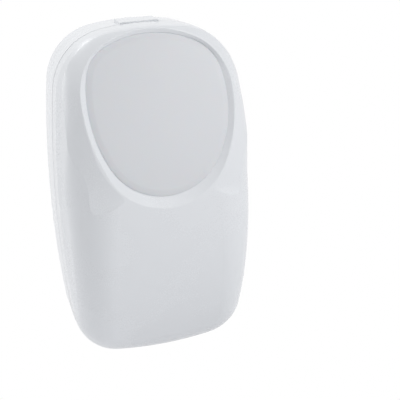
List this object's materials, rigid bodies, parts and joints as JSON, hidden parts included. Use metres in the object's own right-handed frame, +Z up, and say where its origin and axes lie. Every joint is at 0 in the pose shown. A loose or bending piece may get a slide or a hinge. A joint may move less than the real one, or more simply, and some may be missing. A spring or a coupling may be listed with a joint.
{
  "type": "pir motion detector",
  "caption": "Wall-mounted passive infrared motion detector: rounded white housing, sunk egg-shaped window in a raised collar, hinged front cover, mirror optic and circuit board inside.",
  "frame": {"origin": "centre of the flat back face that lies on the wall, midway between the four wall fixing holes", "axes": "+Z up the wall, +Y into the wall, so the detector faces -Y; +X to the right seen from the room"},
  "size_m": [0.084, 0.0575, 0.1483],
  "materials": {
    "housing": "gloss",
    "window": "matt, passes infrared",
    "mirror": "mirror-plated moulding",
    "black_plastic": "matt",
    "board": "solder-masked laminate",
    "sensor_metal": "satin",
    "filter": "dark coated filter",
    "steel": "zinc plated",
    "terminal": "satin",
    "relay_case": "satin",
    "can_sleeve": "sleeved can",
    "chip": "moulded",
    "link_plastic": "satin",
    "lamp": "tinted resin",
    "clear_plastic": "clear moulding"
  },
  "bodies": {
    "base": {"back_shell": "housing", "mirror_optic": "mirror", "optic_frame": "black_plastic", "sensor_board": "board", "pyro_base": "sensor_metal", "pyro_can": "sensor_metal", "pyro_filter": "filter", "link_header": "black_plastic", "circuit_board": "board", "board_screws": "steel", "terminal_block": "terminal", "terminal_screws": "steel", "terminal_clamps": "steel", "relay": "relay_case", "capacitors": "can_sleeve", "controller_chip": "chip", "amplifier_chip": "chip", "chip_resistors": "chip", "crystal": "sensor_metal", "jumper_header": "black_plastic", "jumper_links": "link_plastic", "lamp": "lamp", "light_guide": "clear_plastic", "tamper_switch": "black_plastic"},
    "cover": {"front_cover": "housing", "window": "window"},
    "plunger": {"tamper_plunger": "link_plastic"}
  },
  "joints": [
    {"name": "cover_swing", "type": "hinge", "parent": "base", "child": "cover", "pos_m": [0, -0.0226, 0.074], "axis": [-1, 0, 0], "range_deg": [0, 50]},
    {"name": "tamper_travel", "type": "slide", "parent": "base", "child": "plunger", "axis": [0, -1, 0], "range_m": [0, 0.0012]}
  ],
  "couplings": [
    {"joint": "tamper_travel", "follows": "cover_swing", "m_per_rad": 0.001375}
  ]
}
